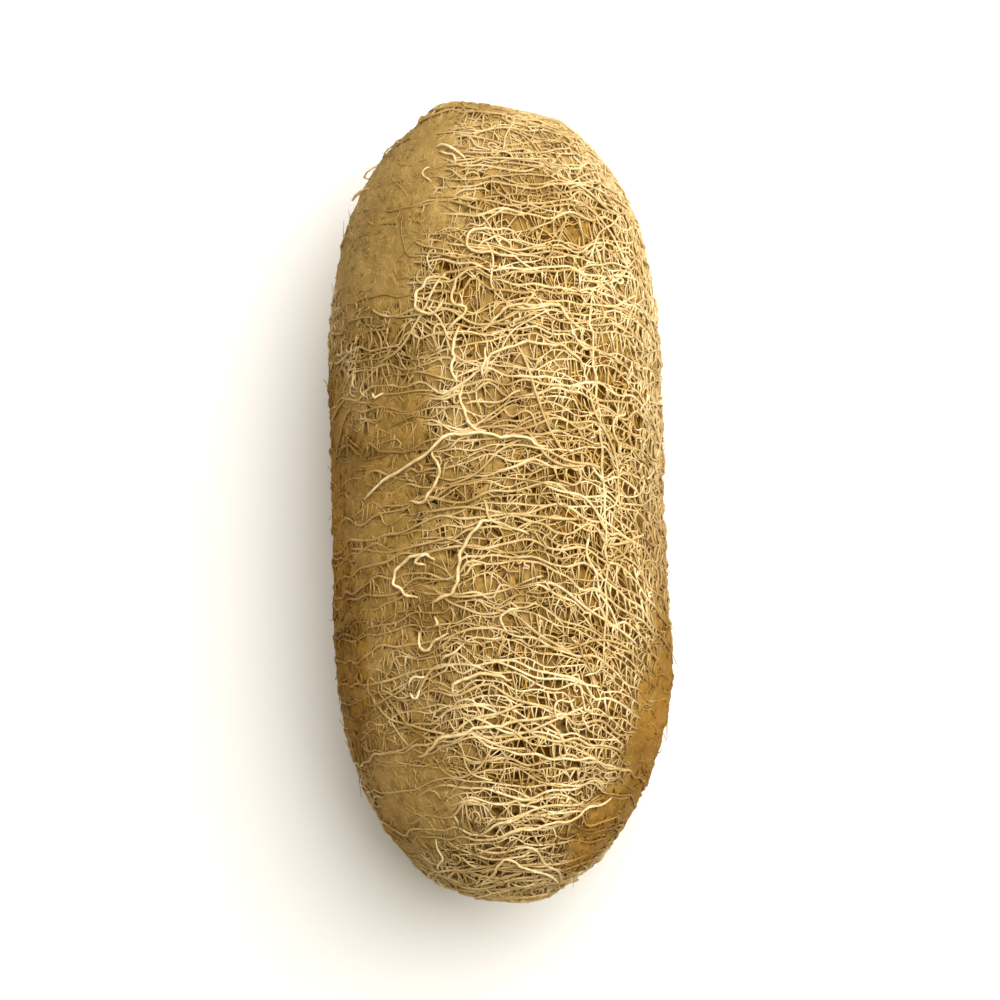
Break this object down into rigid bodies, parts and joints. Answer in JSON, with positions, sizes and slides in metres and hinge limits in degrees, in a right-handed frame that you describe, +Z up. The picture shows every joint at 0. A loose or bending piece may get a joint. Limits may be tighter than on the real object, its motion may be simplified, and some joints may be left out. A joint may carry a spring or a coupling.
{
  "type": "natural loofah sponge",
  "caption": "Whole dried loofah: a barrel-shaped bath sponge with rounded ends and a raised net of wavy fibre strands.",
  "frame": {"origin": "on the surface that the sponge rests on, under the middle of its bounding box", "axes": "+Z up, +Y along the sponge towards its blunt end, +X across it"},
  "size_m": [0.0638, 0.1496, 0.0588],
  "materials": {
    "loofah_fibre": "matte"
  },
  "bodies": {
    "root": {"loofah_sponge": "loofah_fibre"}
  },
  "joints": []
}
